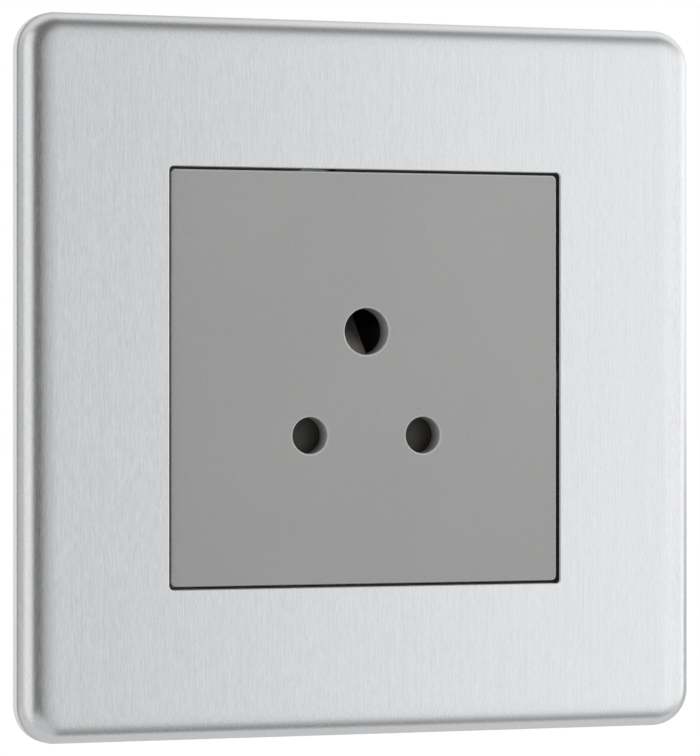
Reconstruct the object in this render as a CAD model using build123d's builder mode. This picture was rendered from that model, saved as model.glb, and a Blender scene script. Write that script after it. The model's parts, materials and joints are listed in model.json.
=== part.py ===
"""Wall socket for small plugs with three round pins, on a screwless brushed steel plate.

Millimetres. X runs to the right and Z up, as seen from the room, and +Y runs into the wall.
The origin is on the wall's surface, midway between the two fixing holes.
"""

import os
from math import atan2, degrees

from build123d import *

os.makedirs("parts", exist_ok=True)

# Front plate, pressed from steel sheet
plate_size = 86.0
plate_corner_radius = 4.5
plate_depth = 2.6
plate_edge_radius = 2.4
plate_slope = 3.0
plate_slope_drop = 0.42
plate_slope_radius = 12.0
plate_inner_radius = 1.6
plate_sheet = 0.9
opening_size = 50.1
opening_corner_radius = 0.5
opening_edge_round = 0.15

# Mounting frame, the pale rim between the plate and the wall
frame_rim_thickness = 1.6
frame_rim_width = 1.8
frame_floor_thickness = 0.5
frame_opening_margin = 1.5
frame_cutout_play = 0.4
seam = 0.1

# Steel yoke and the two holes for the wall box's screws
yoke_end = 5.85
yoke_corner_radius = 3.0
yoke_thickness = 1.0
fixing_spacing = 60.3
fixing_hole_diameter = 4.2
screw_head_space = 9.0

# Plate carrier, the moulded frame that clips the plate to the yoke
carrier_edge_gap = 1.0
carrier_corner_radius = 2.0
carrier_play = 0.15
carrier_clearance = 0.1
clip_spread = 36.0
clip_edge_distance = 5.0
clip_width = 6.0
clip_thickness = 1.2
clip_reach = 1.2
clip_lead_in = 0.4
clip_play = 0.1

# Socket front, the grey moulding with the three pin holes
insert_gap = 0.3
insert_recess = 0.35
insert_wall = 2.8
insert_corner_radius = 0.6
insert_edge_round = 0.25
body_step = 2.25
body_corner_radius = 1.5
body_wall = 1.6
body_clearance = 0.2
snap_reach = 0.8
snap_width = 5.0
snap_height = 1.3
snap_play = 0.05
guide_rib = 1.2
guide_play = 0.2
post_width = 5.0
post_play = 0.1

# Pins of the plug, and the holes that let them in
line_pin_diameter = 3.56
earth_pin_diameter = 5.08
line_hole_diameter = 4.4
earth_hole_diameter = 5.6
hole_edge_round = 0.28
line_pin_length = 15.9
earth_pin_length = 20.6
pin_tip_space = 0.8
pin_spacing = 14.5
earth_offset = 12.5
earth_height = 5.6

# Shutter, which the earth pin pushes down by its ramp
shutter_thickness = 2.1
shutter_gap = 0.15
shutter_travel = 5.6
shutter_margin = 0.8
bar_end_margin = 1.15
ramp_left = -2.6
ramp_right = 1.0
ramp_depth = 5.65
ramp_rise = 5.65
ramp_finger = 2.7
stem_width = 7.0
bar_corner_radius = 0.6
finger_play = 0.4

# Return spring of the shutter
spring_diameter = 2.0
spring_wire = 0.32
spring_turns = 6
spigot_length = 1.6
spigot_play = 0.15

# Rear housing
housing_rear_y = 19.5
housing_corner_radius = 2.0
housing_edge_radius = 1.0
housing_flange = 2.5
housing_step = 1.6
housing_back_wall = 2.0
core_wall = 1.6
core_rise = 1.4
core_corner_radius = 0.8
wire_entry_chamfer = 0.5
pocket_clearance = 0.15

# Contacts, rolled from brass strip, each with a spring collar
contact_sheet = 0.5
contact_fit = 0.02
contact_lead_in = 0.2
contact_slot = 0.5
line_sleeve_start = 1.9
line_sleeve_length = 9.5
earth_sleeve_start = 8.0
earth_sleeve_length = 5.0
slot_share = 0.65
collar_sheet = 0.35
collar_width = 2.0
collar_gap = 1.2
collar_fit = 0.03
collar_setback = 1.6
tail_width = 5.0

# Terminals, brass blocks with a wire hole and a clamp screw
terminal_width = 8.0
terminal_height = 9.0
terminal_depth = 8.9
earth_terminal_x = 7.0
terminal_edge_gap = 1.5
terminal_side_gap = 4.0
wire_hole_diameter = 3.8
wire_hole_setback = 3.2
clamp_screw_diameter = 3.0
clamp_head_diameter = 4.6
clamp_head_height = 2.0
clamp_thread_length = 3.4
clamp_access_play = 0.3
wire_entry_play = 0.4
clamp_backed_out = 2.6
thread_play = 0.05
screw_slot_width = 0.8
screw_slot_depth = 0.9
clamp_tip_chamfer = 0.35
terminal_edge_chamfer = 0.3

# Earth strap, its rivets and the leaf that earths the plate
strap_width = 4.0
strap_sheet = 0.5
strap_x = -6.0
strap_rivet_distance = 2.25
strap_joint_height = 17.0
rivet_diameter = 2.0
rivet_head_diameter = 3.6
rivet_head_height = 0.45
rivet_head_chamfer = 0.15
rivet_fit = 0.03
strap_bend_radius = 0.8
leaf_bend_radius = 0.8
leaf_width = 4.0
leaf_length = 11.0
leaf_sheet = 0.3
leaf_edge_distance = 6.0
leaf_gap = 0.1

# Self-tapping screws that hold the rear housing to the socket front
upper_screw_side = 5.0
upper_screw_z = 12.0
lower_screw_x = 6.4
lower_screw_edge = 3.9
housing_screw_diameter = 2.8
housing_screw_play = 0.2
housing_head_diameter = 4.6
housing_head_height = 1.8
housing_head_depth = 3.0
housing_head_chamfer = 0.4
cross_recess_length = 2.6
cross_recess_width = 0.7
cross_recess_depth = 1.0
boss_diameter = 4.8
boss_skin = 1.2

# Depths of the layers, from the room (negative) into the wall (positive)
plate_back_y = -(frame_rim_thickness + seam)
plate_front_y = plate_back_y - plate_depth
plate_inner_y = plate_front_y + plate_sheet
yoke_back_y = -frame_floor_thickness
yoke_front_y = yoke_back_y - yoke_thickness
carrier_back_y = yoke_front_y - carrier_clearance
insert_front_y = plate_front_y + insert_recess
cavity_front_y = insert_front_y + insert_wall
shutter_front_y = cavity_front_y + shutter_gap
shutter_back_y = shutter_front_y + shutter_thickness
split_y = shutter_back_y + shutter_gap

# Places of the pins
line_x = pin_spacing / 2
line_z = earth_height - earth_offset

# Shutter, worked out from the holes that it covers
bar_half_width = line_x + line_hole_diameter / 2 + bar_end_margin
bar_top_z = line_z + line_hole_diameter / 2 + shutter_margin
bar_bottom_z = line_z - line_hole_diameter / 2 - shutter_margin
ramp_toe_z = earth_height - earth_hole_diameter / 2
ramp_back_y = shutter_front_y + ramp_depth
ramp_top_z = ramp_toe_z + ramp_rise

# Layers, one inside another
insert_size = opening_size - 2 * insert_gap
body_size = insert_size - 2 * body_step
yoke_size = fixing_spacing + 2 * yoke_end
frame_opening = body_size + 2 * frame_opening_margin
carrier_size = plate_size - 2 * (plate_sheet + plate_inner_radius + carrier_edge_gap)
clip_height = yoke_size / 2 - clip_edge_distance
leaf_height = leaf_edge_distance - yoke_size / 2
strap_rivet_height = insert_size / 2 + strap_rivet_distance

# Inside of the socket front
cavity_half = body_size / 2 - body_wall
cavity_mid_y = (cavity_front_y + split_y) / 2

# Terminals and screws stand near the edge of the housing, where wires enter from outside
line_terminal_x = body_size / 2 - terminal_side_gap - terminal_width / 2
line_terminal_z = -(body_size / 2 - terminal_edge_gap - terminal_height / 2)
earth_terminal_z = -line_terminal_z
upper_screw_x = body_size / 2 - upper_screw_side
lower_screw_z = lower_screw_edge - body_size / 2
line_sleeve_end = line_sleeve_start + line_sleeve_length
earth_sleeve_end = earth_sleeve_start + earth_sleeve_length
housing_screws = {
    "left_upper": (-upper_screw_x, upper_screw_z),
    "right_upper": (upper_screw_x, upper_screw_z),
    "left_lower": (-lower_screw_x, lower_screw_z),
    "right_lower": (lower_screw_x, lower_screw_z),
}

# Each pole: place of its pin, pin and sleeve, and place of its terminal
poles = {
    "live": dict(
        x=line_x, z=line_z, pin=line_pin_diameter, pin_length=line_pin_length,
        hole=line_hole_diameter,
        start=line_sleeve_start, end=line_sleeve_end,
        terminal_x=line_terminal_x, terminal_z=line_terminal_z,
    ),
    "neutral": dict(
        x=-line_x, z=line_z, pin=line_pin_diameter, pin_length=line_pin_length,
        hole=line_hole_diameter,
        start=line_sleeve_start, end=line_sleeve_end,
        terminal_x=-line_terminal_x, terminal_z=line_terminal_z,
    ),
    "earth": dict(
        x=0.0, z=earth_height, pin=earth_pin_diameter, pin_length=earth_pin_length,
        hole=earth_hole_diameter,
        start=earth_sleeve_start, end=earth_sleeve_end,
        terminal_x=earth_terminal_x, terminal_z=earth_terminal_z,
    ),
}


def layer(y):
    """Plane at depth y whose sketches are seen from the room and extrude towards it."""
    return Plane.XZ.offset(-y)


def bore_radius(pole):
    return pole["pin"] / 2 + contact_fit


def sleeve_radius(pole):
    return bore_radius(pole) + contact_sheet


def terminal_back(pole):
    return pole["end"] - contact_sheet


def terminal_front(pole):
    return terminal_back(pole) - terminal_depth


def wire_y(pole):
    return terminal_front(pole) + wire_hole_setback


def collar_radius(pole):
    return sleeve_radius(pole) + collar_fit + collar_sheet


def pin_tip(pole):
    return insert_front_y + pole["pin_length"] + pin_tip_space


def outward(pole):
    """Way out for the wire along Z, up or down."""
    return 1 if pole["terminal_z"] > 0 else -1


def strip(start, end, width):
    """Round-ended strip from one point of a layer to another."""
    run = Vector(*end) - Vector(*start)
    angle = degrees(atan2(run.Y, run.X))
    slot = SlotCenterToCenter(run.length, width, mode=Mode.PRIVATE)
    return slot.rotate(Axis.Z, angle).translate(Vector(*start) + run / 2)


def tail(pole, width):
    """Strip from a contact's sleeve to its terminal."""
    return strip(
        (pole["x"], pole["z"]), (pole["terminal_x"], pole["terminal_z"]), width
    )


def strap_tail(width):
    """Strip from the earth contact's sleeve to the joint with the earth strap."""
    return strip((0, earth_height), (strap_x, strap_joint_height), width)


def save(part, name):
    part.label = name
    export_step(part, f"parts/{name}.step")


# Front plate: a pressed dish whose edge slopes a little, then rolls over to the side
with BuildPart() as plate_hollow:
    with BuildSketch(layer(plate_back_y)):
        RectangleRounded(
            plate_size - 2 * plate_sheet,
            plate_size - 2 * plate_sheet,
            plate_corner_radius - plate_sheet,
        )
    extrude(amount=plate_depth - plate_sheet)
    fillet(plate_hollow.faces().sort_by(Axis.Y)[0].edges(), radius=plate_inner_radius)
with BuildPart() as front_plate:
    with BuildSketch(layer(plate_back_y)):
        RectangleRounded(plate_size, plate_size, plate_corner_radius)
    extrude(amount=plate_depth)
    front_face = front_plate.faces().sort_by(Axis.Y)[0]
    chamfer(
        front_face.edges(),
        length=plate_slope,
        length2=plate_slope_drop,
        reference=front_face,
    )
    slope_rim = front_plate.edges().group_by(Axis.Y)[2]
    fillet(slope_rim, radius=plate_edge_radius)
    flat_rim = front_plate.faces().sort_by(Axis.Y)[0].edges()
    fillet(flat_rim, radius=plate_slope_radius)
    add(plate_hollow.part, mode=Mode.SUBTRACT)
    with BuildSketch(layer(plate_inner_y)):
        RectangleRounded(opening_size, opening_size, opening_corner_radius)
    extrude(amount=plate_sheet, mode=Mode.SUBTRACT)
    opening_rim = front_plate.faces().sort_by(Axis.Y)[0].inner_wires()[0]
    fillet(opening_rim.edges(), radius=opening_edge_round)
save(front_plate.part, "front_plate")

# Places that more than one layer has to leave free
fixing_places = [(-fixing_spacing / 2, 0), (fixing_spacing / 2, 0)]
clip_places = [
    (side * clip_spread / 2, end * clip_height) for side in (-1, 1) for end in (-1, 1)
]
clip_slot = (clip_width + 2 * clip_play, clip_thickness + 2 * clip_play)
leaf_rivet_place = (-(leaf_length - leaf_width) / 2, leaf_height)
strap_rivet_place = (strap_x, strap_rivet_height)

# Mounting frame: a rim that shows round the plate, with a thin floor behind the yoke
strap_cutout = (strap_width + 2 * frame_cutout_play, yoke_size / 2 - frame_opening / 2)
with BuildPart() as mounting_frame:
    with BuildSketch(layer(0)):
        RectangleRounded(plate_size, plate_size, plate_corner_radius)
    extrude(amount=frame_rim_thickness)
    with BuildSketch(layer(-frame_floor_thickness)):
        RectangleRounded(
            plate_size - 2 * frame_rim_width,
            plate_size - 2 * frame_rim_width,
            plate_corner_radius - frame_rim_width,
        )
    extrude(amount=frame_rim_thickness, mode=Mode.SUBTRACT)
    with BuildSketch(layer(0)):
        RectangleRounded(frame_opening, frame_opening, body_corner_radius)
        with Locations(*fixing_places):
            Circle(fixing_hole_diameter / 2)
        with Locations(*clip_places):
            Rectangle(
                clip_slot[0] + 2 * frame_cutout_play, clip_slot[1] + 2 * frame_cutout_play
            )
        with Locations(leaf_rivet_place):
            Circle(rivet_head_diameter / 2 + frame_cutout_play)
        with Locations((strap_x, yoke_size / 4 + frame_opening / 4)):
            Rectangle(*strap_cutout)
    extrude(amount=frame_floor_thickness, mode=Mode.SUBTRACT)
save(mounting_frame.part, "mounting_frame")

# Yoke: the steel frame that the socket front snaps into
with BuildPart() as mounting_yoke:
    with BuildSketch(layer(yoke_back_y)):
        RectangleRounded(yoke_size, yoke_size, yoke_corner_radius)
        RectangleRounded(
            body_size + 2 * body_clearance,
            body_size + 2 * body_clearance,
            body_corner_radius,
            mode=Mode.SUBTRACT,
        )
        with Locations(*fixing_places):
            Circle(fixing_hole_diameter / 2, mode=Mode.SUBTRACT)
        with Locations(*clip_places):
            Rectangle(*clip_slot, mode=Mode.SUBTRACT)
        with Locations(leaf_rivet_place, strap_rivet_place):
            Circle(rivet_diameter / 2 + rivet_fit, mode=Mode.SUBTRACT)
    extrude(amount=yoke_thickness)
save(mounting_yoke.part, "mounting_yoke")

# Plate carrier: bonded in the plate, with four legs that grip in the yoke's slots
carrier_opening = insert_size + 2 * carrier_play
carrier_depth = carrier_back_y - plate_inner_y
leg_tip_y = yoke_back_y + clip_reach
with BuildPart() as plate_carrier:
    with BuildSketch(layer(carrier_back_y)):
        RectangleRounded(carrier_size, carrier_size, carrier_corner_radius)
        RectangleRounded(
            carrier_opening, carrier_opening, opening_corner_radius, mode=Mode.SUBTRACT
        )
        for x, z in fixing_places:
            add(strip((0, z), (x, z), screw_head_space), mode=Mode.SUBTRACT)
        with Locations((0, leaf_height)):
            Rectangle(
                leaf_length + leaf_width, leaf_width + 2 * finger_play, mode=Mode.SUBTRACT
            )
        with Locations((strap_x, strap_rivet_height / 2)):
            Rectangle(
                rivet_head_diameter + 2 * finger_play,
                rivet_head_diameter + 2 * finger_play + strap_rivet_height,
                mode=Mode.SUBTRACT,
            )
    extrude(amount=carrier_depth)
    with BuildSketch(layer(leg_tip_y)):
        with Locations(*clip_places):
            Rectangle(clip_width, clip_thickness)
    extrude(amount=leg_tip_y - carrier_back_y)
    leg_tips = plate_carrier.faces().filter_by(Axis.Y).group_by(Axis.Y)[-1]
    chamfer(leg_tips.edges().filter_by(Axis.X), length=clip_lead_in)
save(plate_carrier.part, "plate_carrier")

# Socket front: the square face, the hollow behind it and the snaps that hold the yoke
boss_places = list(housing_screws.values())
spigot_radius = spring_diameter / 2 - spring_wire - spigot_play
snap_y = yoke_back_y + snap_play
stem_rib_bottom = bar_top_z + guide_play
stem_rib_length = ramp_toe_z - stem_rib_bottom
stem_rib_x = stem_width / 2 + guide_play + guide_rib / 2
stem_rib_places = [
    (side * stem_rib_x, stem_rib_bottom + stem_rib_length / 2) for side in (-1, 1)
]
bar_rib_length = bar_top_z - bar_bottom_z + shutter_travel
bar_rib_x = bar_half_width + guide_play + guide_rib / 2
bar_rib_places = [(side * bar_rib_x, bar_top_z - bar_rib_length / 2) for side in (-1, 1)]
with BuildPart() as snap:
    with BuildSketch(Plane.YZ):
        with BuildLine():
            Polyline(
                (snap_y, body_size / 2),
                (snap_y, body_size / 2 + snap_reach),
                (snap_y + snap_height, body_size / 2),
                close=True,
            )
        make_face()
    extrude(amount=snap_width / 2, both=True)
with BuildPart() as socket_front:
    with BuildSketch(layer(yoke_front_y)):
        RectangleRounded(insert_size, insert_size, insert_corner_radius)
    extrude(amount=yoke_front_y - insert_front_y)
    fillet(socket_front.faces().sort_by(Axis.Y)[0].edges(), radius=insert_edge_round)
    with BuildSketch(layer(split_y)):
        RectangleRounded(body_size, body_size, body_corner_radius)
    extrude(amount=split_y - yoke_front_y)
    with BuildSketch(layer(split_y)):
        RectangleRounded(
            2 * cavity_half, 2 * cavity_half, body_corner_radius - body_wall / 2
        )
        with Locations(*boss_places):
            Circle(boss_diameter / 2, mode=Mode.SUBTRACT)
        with Locations(*stem_rib_places):
            Rectangle(guide_rib, stem_rib_length, mode=Mode.SUBTRACT)
        with Locations(*bar_rib_places):
            Rectangle(guide_rib, bar_rib_length, mode=Mode.SUBTRACT)
    extrude(amount=split_y - cavity_front_y, mode=Mode.SUBTRACT)
    for pole in poles.values():
        with BuildSketch(layer(terminal_front(pole) - post_play)):
            with Locations((pole["terminal_x"], pole["terminal_z"])):
                Rectangle(post_width, post_width)
        extrude(amount=terminal_front(pole) - post_play - cavity_front_y)
    for pole in poles.values():
        with BuildSketch(layer(cavity_front_y)):
            with Locations((pole["x"], pole["z"])):
                Circle(pole["hole"] / 2)
        extrude(amount=insert_wall, mode=Mode.SUBTRACT)
    hole_rims = socket_front.faces().sort_by(Axis.Y)[0].inner_wires()
    fillet([edge for rim in hole_rims for edge in rim.edges()], radius=hole_edge_round)
    with BuildSketch(layer(split_y)):
        with Locations(*boss_places):
            Circle(housing_screw_diameter / 2 + thread_play)
    extrude(amount=split_y - insert_front_y - boss_skin, mode=Mode.SUBTRACT)
    with BuildSketch(Plane.XY.offset(-cavity_half)):
        with Locations((0, cavity_mid_y)):
            Circle(spigot_radius)
    extrude(amount=spigot_length)
    for turn in (0, 90, 180, 270):
        add(snap.part.rotate(Axis.Y, turn))
save(socket_front.part, "socket_front")

# Shutter: a bar that covers both line holes, a stem, and a ramp under the earth hole
with BuildPart() as shutter:
    with BuildSketch(layer(shutter_back_y)):
        with Locations((0, (bar_top_z + bar_bottom_z) / 2)):
            Rectangle(2 * bar_half_width, bar_top_z - bar_bottom_z)
        with Locations((0, (bar_bottom_z + ramp_toe_z) / 2)):
            Rectangle(stem_width, ramp_toe_z - bar_bottom_z)
    extrude(amount=shutter_thickness)
    bar_corners = shutter.edges().filter_by(Axis.Y).group_by(Axis.Z)
    fillet(bar_corners[0] + bar_corners[-1], radius=bar_corner_radius)
    with BuildSketch(Plane.YZ.offset(ramp_left)):
        with BuildLine():
            Polyline(
                (shutter_front_y, ramp_toe_z - ramp_finger),
                (shutter_front_y, ramp_toe_z),
                (ramp_back_y, ramp_top_z),
                (ramp_back_y, ramp_top_z - ramp_finger),
                close=True,
            )
        make_face()
    extrude(amount=ramp_right - ramp_left)
    with BuildSketch(Plane.XY.offset(bar_bottom_z)):
        with Locations((0, cavity_mid_y)):
            Circle(spigot_radius)
    extrude(amount=-spigot_length)
save(shutter.part, "shutter")

# Shutter spring: an open coil between the shutter's bar and the floor of the hollow
spring_space = bar_bottom_z + cavity_half
coil_height = spring_space - spring_wire
coil_start = (0, cavity_mid_y, -cavity_half + spring_wire / 2)
with BuildPart() as shutter_spring:
    with BuildLine() as coil:
        Helix(
            pitch=coil_height / spring_turns,
            height=coil_height,
            radius=(spring_diameter - spring_wire) / 2,
            center=coil_start,
        )
    with BuildSketch(coil.line ^ 0):
        Circle(spring_wire / 2)
    sweep(path=coil.line)
save(shutter_spring.part, "shutter_spring")

# Rear housing: a deep moulding with a pocket for each contact and its terminal
strap_z = body_size / 2 + pocket_clearance + strap_sheet / 2
strap_y = earth_sleeve_end + strap_sheet / 2
strap_end_z = strap_joint_height - strap_width / 2
finger_space = (
    ramp_right - ramp_left + 2 * finger_play,
    ramp_rise + shutter_travel + ramp_finger + 2 * finger_play,
)
finger_middle = (
    (ramp_left + ramp_right) / 2,
    (ramp_top_z + ramp_toe_z - ramp_finger - shutter_travel) / 2,
)
seat_y = housing_rear_y - housing_head_depth
core_outer_x = body_size / 2 - housing_step - body_wall
core_inner_x = line_x + collar_radius(poles["live"]) + core_wall
core_top_z = upper_screw_z - housing_screw_diameter / 2 - core_wall
core_bottom_z = line_z + core_rise
core_size = (core_outer_x - core_inner_x, core_top_z - core_bottom_z)
core_places = [
    (side * (core_outer_x + core_inner_x) / 2, (core_top_z + core_bottom_z) / 2)
    for side in (-1, 1)
]
with BuildPart() as rear_housing:
    with BuildSketch(layer(split_y + housing_flange)):
        RectangleRounded(body_size, body_size, body_corner_radius)
    extrude(amount=housing_flange)
    with BuildSketch(layer(housing_rear_y)):
        RectangleRounded(
            body_size - 2 * housing_step, body_size, housing_corner_radius
        )
    extrude(amount=housing_rear_y - split_y - housing_flange)
    fillet(
        rear_housing.faces().sort_by(Axis.Y)[-1].edges(), radius=housing_edge_radius
    )
    with BuildSketch(layer(housing_rear_y - housing_back_wall)):
        with Locations(*core_places):
            RectangleRounded(*core_size, core_corner_radius)
    extrude(amount=housing_rear_y - housing_back_wall - split_y, mode=Mode.SUBTRACT)
    for pole in poles.values():
        pocket_back = pole["end"] + pocket_clearance
        with BuildSketch(layer(pocket_back)):
            with Locations((pole["x"], pole["z"])):
                Circle(collar_radius(pole) + pocket_clearance)
            add(tail(pole, tail_width + 2 * pocket_clearance))
            with Locations((pole["terminal_x"], pole["terminal_z"])):
                Rectangle(
                    terminal_width + 2 * pocket_clearance,
                    terminal_height + 2 * pocket_clearance,
                )
        extrude(amount=pocket_back - split_y, mode=Mode.SUBTRACT)
        with BuildSketch(layer(pin_tip(pole))):
            with Locations((pole["x"], pole["z"])):
                Circle(pole["hole"] / 2)
        extrude(amount=pin_tip(pole) - pole["end"], mode=Mode.SUBTRACT)
        with BuildSketch(layer(housing_rear_y)):
            with Locations((pole["terminal_x"], pole["terminal_z"])):
                Circle(clamp_head_diameter / 2 + clamp_access_play)
        extrude(amount=housing_rear_y - pole["end"], mode=Mode.SUBTRACT)
        with BuildSketch(Plane.XY.offset(pole["terminal_z"])):
            with Locations((pole["terminal_x"], wire_y(pole))):
                Circle(wire_hole_diameter / 2 + wire_entry_play)
        extrude(amount=outward(pole) * body_size, mode=Mode.SUBTRACT)
    wire_mouths = rear_housing.edges().filter_by(GeomType.CIRCLE).filter_by(
        lambda edge: abs(abs(edge.center().Z) - body_size / 2) < pocket_clearance
    )
    chamfer(wire_mouths, length=wire_entry_chamfer)
    with BuildSketch(layer(ramp_back_y + finger_play)):
        with Locations(finger_middle):
            Rectangle(*finger_space)
    extrude(amount=ramp_back_y + finger_play - split_y, mode=Mode.SUBTRACT)
    with BuildSketch(layer(strap_y + strap_sheet / 2 + pocket_clearance)):
        add(strap_tail(tail_width + 2 * pocket_clearance))
        with Locations((strap_x, (strap_end_z + body_size / 2) / 2)):
            Rectangle(
                strap_width + 2 * pocket_clearance,
                body_size / 2 - strap_end_z + 2 * pocket_clearance,
            )
    extrude(amount=strap_y + strap_sheet / 2 + pocket_clearance - split_y, mode=Mode.SUBTRACT)
    with BuildSketch(layer(strap_y + strap_sheet / 2 + rivet_head_height + pocket_clearance)):
        with Locations((strap_x, strap_joint_height)):
            Circle(rivet_head_diameter / 2 + pocket_clearance)
    extrude(amount=strap_y - split_y, mode=Mode.SUBTRACT)
    with BuildSketch(layer(housing_rear_y)):
        with Locations(*boss_places):
            Circle(housing_screw_diameter / 2 + housing_screw_play)
    extrude(amount=housing_rear_y - split_y, mode=Mode.SUBTRACT)
    with BuildSketch(layer(housing_rear_y)):
        with Locations(*boss_places):
            Circle(housing_head_diameter / 2 + housing_screw_play)
    extrude(amount=housing_head_depth, mode=Mode.SUBTRACT)
save(rear_housing.part, "rear_housing")

# Contacts, their spring collars, terminals and clamp screws, one set for each pole
for name, pole in poles.items():
    centre = (pole["x"], pole["z"])
    terminal_place = (pole["terminal_x"], pole["terminal_z"])

    with BuildPart() as contact:
        with BuildSketch(layer(pole["end"])):
            with Locations(centre):
                Circle(sleeve_radius(pole))
        extrude(amount=pole["end"] - pole["start"])
        with BuildSketch(layer(pole["end"])):
            add(tail(pole, tail_width))
            if name == "earth":
                add(strap_tail(tail_width))
            with Locations(terminal_place):
                Circle(clamp_screw_diameter / 2 + thread_play, mode=Mode.SUBTRACT)
        extrude(amount=contact_sheet)
        with BuildSketch(layer(pole["end"])):
            with Locations(centre):
                Circle(bore_radius(pole))
            if name == "earth":
                with Locations((strap_x, strap_joint_height)):
                    Circle(rivet_diameter / 2 + rivet_fit)
        extrude(amount=pole["end"] - pole["start"], mode=Mode.SUBTRACT)
        mouth = contact.faces().sort_by(Axis.Y)[0].inner_wires()[0]
        chamfer(mouth.edges(), length=contact_lead_in)
        slot_length = slot_share * (pole["end"] - pole["start"])
        with BuildSketch(layer(pole["start"] + slot_length)):
            with Locations(centre):
                Rectangle(contact_slot, 2 * sleeve_radius(pole) + contact_slot)
                Rectangle(2 * sleeve_radius(pole) + contact_slot, contact_slot)
        extrude(amount=slot_length, mode=Mode.SUBTRACT)
    save(contact.part, f"{name}_contact")

    with BuildPart() as collar:
        with BuildSketch(layer(pole["start"] + collar_setback + collar_width)):
            with Locations(centre):
                Circle(collar_radius(pole))
                Circle(collar_radius(pole) - collar_sheet, mode=Mode.SUBTRACT)
            with Locations((pole["x"], pole["z"] + collar_radius(pole))):
                Rectangle(collar_gap, 2 * collar_sheet + collar_gap, mode=Mode.SUBTRACT)
        extrude(amount=collar_width)
    save(collar.part, f"{name}_contact_spring")

    with BuildPart() as terminal:
        with BuildSketch(layer(terminal_back(pole))):
            with Locations(terminal_place):
                Rectangle(terminal_width, terminal_height)
        extrude(amount=terminal_depth)
        chamfer(terminal.edges().filter_by(Axis.Y), length=terminal_edge_chamfer)
        with BuildSketch(Plane.XY.offset(pole["terminal_z"])):
            with Locations((pole["terminal_x"], wire_y(pole))):
                Circle(wire_hole_diameter / 2)
        extrude(amount=terminal_height, both=True, mode=Mode.SUBTRACT)
        with BuildSketch(layer(terminal_back(pole))):
            with Locations(terminal_place):
                Circle(clamp_screw_diameter / 2 + thread_play)
        extrude(amount=terminal_back(pole) - wire_y(pole), mode=Mode.SUBTRACT)
    save(terminal.part, f"{name}_terminal")

    head_y = pole["end"] + clamp_backed_out
    with BuildPart() as clamp_screw:
        with BuildSketch(layer(head_y)):
            with Locations(terminal_place):
                Circle(clamp_screw_diameter / 2)
        extrude(amount=head_y - terminal_back(pole) + clamp_thread_length)
        chamfer(
            clamp_screw.faces().sort_by(Axis.Y)[0].edges(), length=clamp_tip_chamfer
        )
        with BuildSketch(layer(head_y + clamp_head_height)):
            with Locations(terminal_place):
                Circle(clamp_head_diameter / 2)
        extrude(amount=clamp_head_height)
        chamfer(
            clamp_screw.faces().sort_by(Axis.Y)[-1].edges(), length=clamp_tip_chamfer
        )
        with BuildSketch(layer(head_y + clamp_head_height)):
            with Locations(terminal_place):
                Rectangle(clamp_head_diameter, screw_slot_width)
        extrude(amount=screw_slot_depth, mode=Mode.SUBTRACT)
    save(clamp_screw.part, f"{name}_terminal_screw")

# Earth strap: bent steel from the back of the yoke to the tail of the earth contact
with BuildLine() as strap_path:
    FilletPolyline(
        (strap_x, yoke_back_y + strap_sheet / 2, strap_rivet_height + strap_width / 2),
        (strap_x, yoke_back_y + strap_sheet / 2, strap_z),
        (strap_x, strap_y, strap_z),
        (strap_x, strap_y, strap_end_z),
        radius=strap_bend_radius,
    )
with BuildPart() as earth_strap:
    with BuildSketch(Plane(strap_path.line @ 0, x_dir=(1, 0, 0), z_dir=strap_path.line % 0)):
        Rectangle(strap_width, strap_sheet)
    sweep(path=strap_path.line)
    with BuildSketch(layer(strap_y + strap_sheet)):
        with Locations(strap_rivet_place, (strap_x, strap_joint_height)):
            Circle(rivet_diameter / 2 + rivet_fit)
    extrude(amount=2 * strap_y, mode=Mode.SUBTRACT)
save(earth_strap.part, "earth_strap")

# Leaf spring: it presses on the inside of the steel plate, so that the plate is earthed
leaf_start_y = yoke_front_y - leaf_sheet / 2
leaf_peak_y = plate_inner_y + leaf_gap + leaf_sheet / 2
with BuildLine() as leaf_path:
    FilletPolyline(
        (-leaf_length / 2, leaf_start_y, leaf_height),
        (leaf_rivet_place[0] + leaf_width / 2, leaf_start_y, leaf_height),
        (leaf_length / 2 - leaf_width / 2, leaf_peak_y, leaf_height),
        (leaf_length / 2, (leaf_start_y + leaf_peak_y) / 2, leaf_height),
        radius=leaf_bend_radius,
    )
with BuildPart() as plate_earth_spring:
    with BuildSketch(Plane(leaf_path.line @ 0, x_dir=(0, 0, 1), z_dir=leaf_path.line % 0)):
        Rectangle(leaf_width, leaf_sheet)
    sweep(path=leaf_path.line)
    with BuildSketch(layer(yoke_front_y)):
        with Locations(leaf_rivet_place):
            Circle(rivet_diameter / 2 + rivet_fit)
    extrude(amount=leaf_sheet, mode=Mode.SUBTRACT)
save(plate_earth_spring.part, "plate_earth_spring")

# Rivets: each has a flat head at both ends of what it holds together
rivets = {
    "leaf_rivet": (leaf_rivet_place, yoke_front_y - leaf_sheet, yoke_back_y),
    "yoke_rivet": (strap_rivet_place, yoke_front_y, yoke_back_y + strap_sheet),
    "strap_rivet": (
        (strap_x, strap_joint_height),
        earth_sleeve_end - contact_sheet,
        earth_sleeve_end + strap_sheet,
    ),
}
for name, (place, front_y, back_y) in rivets.items():
    with BuildPart() as rivet:
        with BuildSketch(layer(back_y)):
            with Locations(place):
                Circle(rivet_diameter / 2)
        extrude(amount=back_y - front_y)
        with BuildSketch(layer(front_y), layer(back_y + rivet_head_height)):
            with Locations(place):
                Circle(rivet_head_diameter / 2)
        extrude(amount=rivet_head_height)
        head_rims = rivet.edges().filter_by(GeomType.CIRCLE).sort_by(Axis.Y)
        chamfer([head_rims[0], head_rims[-1]], length=rivet_head_chamfer)
    save(rivet.part, name)

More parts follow.
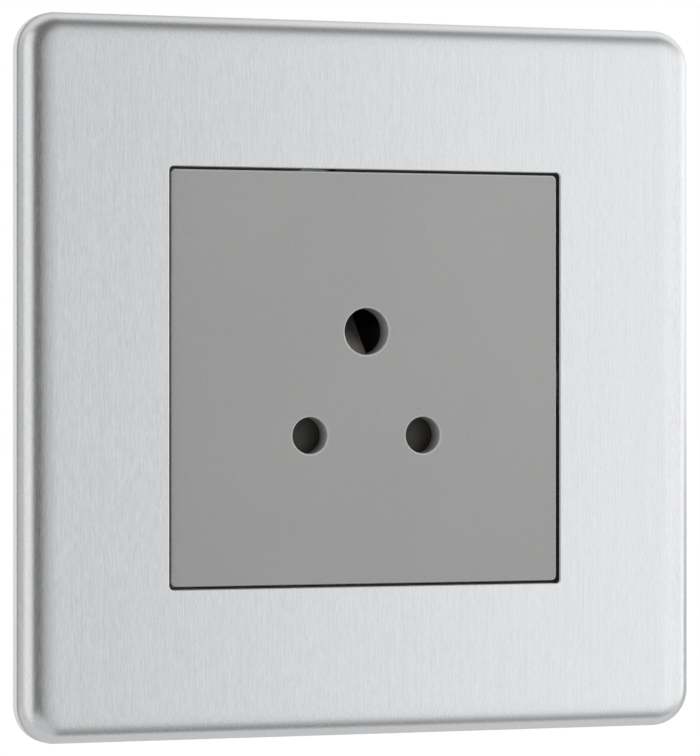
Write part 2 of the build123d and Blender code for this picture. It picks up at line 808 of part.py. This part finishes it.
# Housing screws, driven from the back into the bosses of the socket front
for name, place in housing_screws.items():
    with BuildPart() as housing_screw:
        with BuildSketch(layer(seat_y)):
            with Locations(place):
                Circle(housing_screw_diameter / 2)
        extrude(amount=seat_y - insert_front_y - boss_skin - housing_screw_play)
        chamfer(
            housing_screw.faces().sort_by(Axis.Y)[0].edges(), length=clamp_tip_chamfer
        )
        with BuildSketch(layer(seat_y + housing_head_height)):
            with Locations(place):
                Circle(housing_head_diameter / 2)
        extrude(amount=housing_head_height)
        head_rim = housing_screw.faces().sort_by(Axis.Y)[-1].edges()
        chamfer(head_rim, length=housing_head_chamfer)
        with BuildSketch(layer(seat_y + housing_head_height)):
            with Locations(place):
                Rectangle(cross_recess_length, cross_recess_width)
                Rectangle(cross_recess_width, cross_recess_length)
        extrude(amount=cross_recess_depth, mode=Mode.SUBTRACT)
    save(housing_screw.part, f"housing_screw_{name}")
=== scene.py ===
import json
from math import cos, radians, sin

import bpy
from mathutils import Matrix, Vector


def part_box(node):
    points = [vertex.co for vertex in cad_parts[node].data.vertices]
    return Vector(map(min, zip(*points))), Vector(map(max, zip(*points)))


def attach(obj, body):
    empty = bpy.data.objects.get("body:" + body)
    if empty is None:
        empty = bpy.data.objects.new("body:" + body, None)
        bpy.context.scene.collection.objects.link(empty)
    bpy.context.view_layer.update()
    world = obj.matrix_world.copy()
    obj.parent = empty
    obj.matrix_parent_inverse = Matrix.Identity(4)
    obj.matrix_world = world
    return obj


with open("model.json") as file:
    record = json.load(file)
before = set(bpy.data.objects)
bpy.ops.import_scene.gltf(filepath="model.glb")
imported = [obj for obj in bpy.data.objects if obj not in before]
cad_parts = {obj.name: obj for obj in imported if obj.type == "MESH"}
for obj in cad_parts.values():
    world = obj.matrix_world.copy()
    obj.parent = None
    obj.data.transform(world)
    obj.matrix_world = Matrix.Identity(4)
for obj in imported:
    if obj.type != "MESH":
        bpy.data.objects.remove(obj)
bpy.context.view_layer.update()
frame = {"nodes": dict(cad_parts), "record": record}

nodes = frame["nodes"]


# Shader maths written as expressions
class Value:
    """A socket's value in a node tree; an expression on values adds its Math nodes."""

    def __init__(self, finish, socket):
        self.finish = finish
        self.socket = socket

    def __add__(self, other):
        return self.finish.maths("ADD", self, other)

    def __sub__(self, other):
        return self.finish.maths("SUBTRACT", self, other)

    def __rsub__(self, other):
        return self.finish.maths("SUBTRACT", other, self)

    def __mul__(self, other):
        return self.finish.maths("MULTIPLY", self, other)

    def __abs__(self):
        return self.finish.maths("ABSOLUTE", self)

    def above(self, other):
        """The larger of the two."""
        return self.finish.maths("MAXIMUM", self, other)

    def rise(self, start, end, low=0.0, high=1.0):
        """Goes smoothly from low to high as this value goes from start to end."""
        return self.finish.add(
            "ShaderNodeMapRange",
            {"interpolation_type": "SMOOTHSTEP"},
            {"Value": self, "From Min": start, "From Max": end, "To Min": low, "To Max": high},
        )


class Finish:
    """The nodes of one material, or of the world."""

    def __init__(self, owner):
        owner.use_nodes = True
        self.owner = owner
        self.tree = owner.node_tree
        self.tree.nodes.clear()

    def add(self, kind, settings=None, inputs=None, output=0):
        """Adds a node of any kind: its settings first, then the values or links of its sockets."""
        node = self.tree.nodes.new(kind)
        for name, setting in (settings or {}).items():
            setattr(node, name, setting)
        for name, value in (inputs or {}).items():
            if isinstance(value, Value):
                self.tree.links.new(value.socket, node.inputs[name])
            else:
                node.inputs[name].default_value = value
        return Value(self, node.outputs[output]) if node.outputs else None

    def maths(self, operation, *values):
        return self.add("ShaderNodeMath", {"operation": operation}, dict(enumerate(values)))

    def parts(self, vector):
        """A vector's three numbers."""
        outputs = self.add("ShaderNodeSeparateXYZ", {}, {0: vector}).socket.node.outputs
        return [Value(self, output) for output in outputs]

    def place(self, scale=(1, 1, 1)):
        """The piece's own coordinates, stretched, so that grain can run one way."""
        point = self.add("ShaderNodeTexCoord", output=3)
        return self.add("ShaderNodeVectorMath", {"operation": "MULTIPLY"}, {0: point, 1: scale})

    def noise(self, scale=1.0, detail=2.0, stretch=(1, 1, 1), roughness=0.5):
        """Grain with so many cells to the metre, by its scale and by the stretch of each axis."""
        return self.add(
            "ShaderNodeTexNoise",
            {},
            {
                "Vector": self.place(stretch),
                "Scale": scale,
                "Detail": detail,
                "Roughness": roughness,
            },
        )

    def mix(self, share, first, second):
        """A colour between two others."""
        return self.add(
            "ShaderNodeMix",
            {"data_type": "RGBA"},
            {"Factor": share, 6: first, 7: second},
            output=2,
        )

    def bump(self, height, distance, under=None):
        """Fine relief, on the surface itself or on a normal that lies under it."""
        inputs = {"Height": height, "Distance": distance, "Strength": 0.3}
        if under is not None:
            inputs["Normal"] = under
        return self.add("ShaderNodeBump", {}, inputs)

    def soft_edges(self, radius):
        """A normal that runs softly across the edges of the shape."""
        return self.add("ShaderNodeBevel", {"samples": 8}, {"Radius": radius})

    def ray_is(self, kind):
        """1 where the ray is of this kind, otherwise 0."""
        rays = self.add("ShaderNodeLightPath").socket.node.outputs
        return Value(self, rays[f"Is {kind} Ray"])

    def surface(self, **inputs):
        """The shader and the output; a name such as Base_Color stands for Base Color."""
        shader = self.add(
            "ShaderNodeBsdfPrincipled",
            {},
            {name.replace("_", " "): value for name, value in inputs.items()},
        )
        self.add("ShaderNodeOutputMaterial", {}, {"Surface": shader})
        return self.owner


def new_finish(name):
    return Finish(bpy.data.materials.new(name))


def grey(level, warmth=0.0):
    return (level * (1 + warmth), level, level * (1 - warmth), 1.0)


# Finishes; lengths are in metres
metal_relief = 0.000003
moulding_relief = 0.00001


def brushed_plate_finish():
    """Stainless steel brushed upwards; near the rim its slope runs softly into the flat."""
    dull, bright = (0.693, 0.701, 0.713, 1), (0.887, 0.895, 0.907, 1)
    flat_ends, slope_begins, slope_softness = 0.029, 0.032, 0.0012
    f = new_finish("brushed_stainless_steel")
    across, _, up = f.parts(f.place())
    from_middle = abs(across).above(abs(up))
    softness = from_middle.rise(flat_ends, slope_begins, 0.0, slope_softness)
    streaks = f.noise(detail=3.0, stretch=(15000, 15000, 800), roughness=0.6)
    long_lines = f.noise(stretch=(9000, 9000, 45))
    speckle = f.noise(stretch=(14000, 14000, 6000))
    scratches = f.noise(detail=1.0, stretch=(9000, 9000, 110)).rise(0.66, 0.8)
    tone = streaks * 0.58 + long_lines * 0.14 + speckle * 0.28
    return f.surface(
        Base_Color=f.mix(tone.rise(0.32, 0.68), dull, bright),
        Metallic=1.0,
        Roughness=streaks.rise(0.25, 0.75, 0.18, 0.28) + scratches * 0.06,
        Normal=f.bump(streaks, metal_relief, f.soft_edges(softness)),
    )


def insert_finish():
    """The grey moulding of the insert; its rounded edges carry a painted highlight: a paler colour
    and slightly lower roughness.
    """
    dark, light, painted_highlight = (
        (0.302, 0.307, 0.300, 1), (0.340, 0.345, 0.337, 1), (0.46, 0.462, 0.455, 1)
    )
    f = new_finish("grey_moulding")
    fine = f.noise(5200, detail=3.0, roughness=0.6)
    clouds = f.noise(60)
    _, forwards, _ = f.parts(f.add("ShaderNodeNewGeometry", output=1))
    facing = abs(forwards)
    # Painted highlight: where the surface turns from facing forwards, on the rounded edges, the
    # colour is made paler to stand for lamp highlights.
    painted_edge_highlight = facing.rise(0.995, 0.95) * facing.rise(0.15, 0.4)
    cloudiness = clouds.rise(0.3, 0.7) * 0.25 + fine.rise(0.25, 0.75) * 0.75
    return f.surface(
        # Base colour: random clouding, with the painted highlight on the rounded edges.
        Base_Color=f.mix(painted_edge_highlight, f.mix(cloudiness, dark, light), painted_highlight),
        Roughness=fine.rise(0.25, 0.75, 0.28, 0.38) - painted_edge_highlight * 0.06,
        Normal=f.bump(fine, moulding_relief / 2),
    )


def shutter_finish():
    """Dark moulding whose ramp, from its toe upwards, carries painted light: paler patches that
    stand for light falling on it through the hole.
    """
    shutter_tone, painted_lit_tone = grey(0.031, 0.14), grey(0.3, 0.09)
    painted_light_begins, painted_light_full = 0.0022, 0.003
    f = new_finish("shutter_moulding")
    fine = f.noise(2600, detail=3.0, roughness=0.6)
    painted_light_patches = f.noise(detail=3.0, stretch=(4200, 900, 900), roughness=0.6)
    _, _, up = f.parts(f.place())
    # Painted light: above the ramp's toe the colour turns paler, in patches, and a little
    # glossier, to stand for light falling on the ramp.
    painted_light_mask = up.rise(painted_light_begins, painted_light_full) * painted_light_patches.rise(0.25, 0.75, 0.6, 1.0)
    return f.surface(
        Base_Color=f.mix(painted_light_mask, shutter_tone, painted_lit_tone),
        Roughness=fine.rise(0.25, 0.75, 0.4, 0.52) - painted_light_mask * 0.08,
        Normal=f.bump(fine, moulding_relief),
    )


def moulded_finish(name, dark, light, roughness):
    """Matt moulded plastic with a fine spark-eroded grain and slight clouding."""
    f = new_finish(name)
    fine = f.noise(2600, detail=3.0, roughness=0.6)
    clouds = f.noise(60)
    return f.surface(
        Base_Color=f.mix(clouds.rise(0.3, 0.7) * 0.7 + fine * 0.3, dark, light),
        Roughness=fine.rise(0.25, 0.75, roughness - 0.05, roughness + 0.07),
        Normal=f.bump(fine, moulding_relief),
    )


def metal_finish(name, dark, light, roughness, stretch=(1, 1, 1), stain=0.0):
    """Rolled, drawn or plated metal: faint rolling lines and cloudy plating."""
    f = new_finish(name)
    lines = f.noise(1500, detail=3.0, stretch=stretch, roughness=0.6)
    clouds = f.noise(220, detail=4.0)
    return f.surface(
        Base_Color=f.mix(clouds.rise(0.3, 0.7) * 0.6 + lines * 0.4, dark, light),
        Metallic=1.0,
        Roughness=lines.rise(0.25, 0.75, roughness - 0.06, roughness + 0.08)
        + clouds.rise(0.55, 0.8) * stain,
        Normal=f.bump(lines, metal_relief),
    )


finishes = {
    "brushed_plate": brushed_plate_finish(),
    "pale_frame": moulded_finish("pale_rim_moulding", grey(0.76), grey(0.82), 0.5),
    "black_nylon": moulded_finish("black_nylon", grey(0.018), grey(0.035), 0.5),
    "zinc_steel": metal_finish(
        "zinc_plated_steel", (0.50, 0.52, 0.53, 1), (0.68, 0.69, 0.68, 1), 0.36, stain=0.1
    ),
    "grey_moulding": insert_finish(),
    "dark_moulding": moulded_finish(
        "dark_housing_moulding", grey(0.06, 0.04), grey(0.08, 0.04), 0.45
    ),
    "shutter_grey": shutter_finish(),
    "spring_steel": metal_finish("spring_steel", grey(0.42), grey(0.60), 0.28),
    "brass": metal_finish(
        "rolled_brass", (0.62, 0.42, 0.16, 1), (0.78, 0.56, 0.25, 1), 0.27,
        stretch=(1, 4, 1), stain=0.12,
    ),
    "nickelled_steel": metal_finish(
        "nickelled_steel", (0.55, 0.53, 0.48, 1), (0.70, 0.68, 0.62, 1), 0.25
    ),
}
for part in frame["record"]["subparts"]:
    for slot in nodes[part["node"]].material_slots:
        slot.material = finishes[part["material_slot"]]


# Letters moulded beside the terminals on the back of the housing
_, housing_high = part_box("rear_housing")
letter_height = 0.0032
capital_share = 0.7
letter_relief = 0.0002
letter_distance = 0.0058
for wire in ("live", "neutral", "earth"):
    terminal_low, terminal_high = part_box(f"{wire}_terminal")
    middle = (terminal_low + terminal_high) / 2
    curve = bpy.data.curves.new(f"{wire}_mark", "FONT")
    curve.body = wire[0].upper()
    curve.size = letter_height / capital_share
    curve.extrude = letter_relief
    curve.align_x, curve.align_y = "CENTER", "CENTER"
    mark = bpy.data.objects.new(f"{wire}_mark", curve)
    bpy.context.collection.objects.link(mark)
    inwards = -1 if middle.z > 0 else 1
    mark.location = (middle.x, housing_high.y, middle.z + inwards * letter_distance)
    mark.rotation_euler = (radians(90), 0, radians(180))
    curve.materials.append(finishes["dark_moulding"])
    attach(mark, "base")


# Camera: to the left of the plate's middle, level with it
view_angle = radians(20.62)
view_distance = 0.5103
lens_in_pixels = 4245.7
picture_width, picture_height = 700, 756
plate_centre_pixel = 368.1
plate_low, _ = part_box("front_plate")
plate_face = Vector((0, plate_low.y, 0))
back = Vector((-sin(view_angle), -cos(view_angle), 0))
camera_data = bpy.data.cameras.new("camera")
camera_data.sensor_width = 36.0
camera_data.lens = lens_in_pixels * camera_data.sensor_width / picture_height
camera_data.shift_x = (picture_width / 2 - plate_centre_pixel) / picture_height
camera_data.clip_start = 0.01
camera_data.clip_end = 20
camera = bpy.data.objects.new("camera", camera_data)
camera.location = plate_face + back * view_distance
camera.rotation_euler = back.to_track_quat("Z", "Y").to_euler()
bpy.context.collection.objects.link(camera)
bpy.context.scene.camera = camera


# Studio: a pale floor, a world of soft panels with dim gaps, and two soft lamps
def add_floor():
    """A wide pale floor that begins under the plate, so that the plate mirrors the room too."""
    drop, reach, front = 0.12, 6.0, 0.03
    glow_for_camera, glow_for_mirrors = 0.8, 0.15
    corners = [(-reach, -front), (reach, -front), (reach, reach), (-reach, reach)]
    mesh = bpy.data.meshes.new("floor")
    mesh.from_pydata([(x, y, -drop) for x, y in corners], [], [(0, 1, 2, 3)])
    floor = bpy.data.objects.new("floor", mesh)
    bpy.context.collection.objects.link(floor)
    f = new_finish("pale_floor")
    matt = f.add("ShaderNodeBsdfDiffuse", {}, {"Color": grey(0.66)})
    glow = f.add("ShaderNodeEmission", {}, {"Color": grey(1.0), "Strength": 1.15})
    share = f.ray_is("Camera") * glow_for_camera + f.ray_is("Glossy") * glow_for_mirrors
    mixed = f.add("ShaderNodeMixShader", {}, {0: share, 1: matt, 2: glow})
    f.add("ShaderNodeOutputMaterial", {}, {"Surface": mixed})
    mesh.materials.append(f.owner)


def light_world():
    """White behind the object; round it, soft panels at the sides and low down, with dim gaps.

    Each rise gives a panel's strength between two directions: across is to the right,
    depth is into the wall and height is up, each from -1 to 1.
    """
    world = bpy.data.worlds.new("studio")
    bpy.context.scene.world = world
    f = Finish(world)
    across, depth, height = f.parts(f.add("ShaderNodeTexCoord", output=0))
    near_panel = across.rise(-0.04, 0.2, 0.0, 0.46) + across.rise(0.26, 0.42, 0.0, 0.28)
    far_panel = across.rise(0.45, 0.62, 0.0, -0.1) + across.rise(0.88, 0.98, 0.0, 0.2)
    right_panel = (near_panel + far_panel) * abs(height).rise(0.85, 0.2)
    left_panel = across.rise(-0.42, -0.84, 0.0, 0.74) * depth.rise(0.0, 0.35, 1.0, 0.0)
    side_panels = right_panel.above(left_panel * abs(height).rise(0.9, 0.6))
    behind = depth.rise(-0.45, 0.1, 0.0, 0.6) * depth.rise(0.4, 0.9, 1.0, 0.55)
    surround = behind * across.rise(-0.95, -0.6, 0.6, 1.0)
    low_panel = height.rise(-0.1, -0.38, 0.0, 0.42) * across.rise(0.3, 0.1)
    dim = across.rise(0.25, 0.45, 0.18, 0.37)
    level = dim + side_panels.above(surround).above(low_panel)
    seen = f.ray_is("Camera")
    strength = seen + (1 - seen) * level
    shade = f.add("ShaderNodeBackground", {}, {"Color": grey(1.0), "Strength": strength})
    f.add("ShaderNodeOutputWorld", {}, {"Surface": shade})


def add_lamp(name, place, size, watts):
    """A soft square lamp aimed at the plate, which metal doesn't mirror."""
    data = bpy.data.lights.new(name, "AREA")
    data.shape = "SQUARE"
    data.size = size
    data.energy = watts
    lamp = bpy.data.objects.new(name, data)
    lamp.location = place
    lamp.rotation_euler = Vector(place).to_track_quat("Z", "Y").to_euler()
    lamp.visible_glossy = False
    bpy.context.collection.objects.link(lamp)


add_floor()
light_world()
add_lamp("right_softbox", (0.185, -0.245, 0.115), 0.16, 0.485)
add_lamp("left_softbox", (-1.1, -0.25, 0.3), 0.6, 4)
bpy.context.scene.view_settings.view_transform = "Standard"
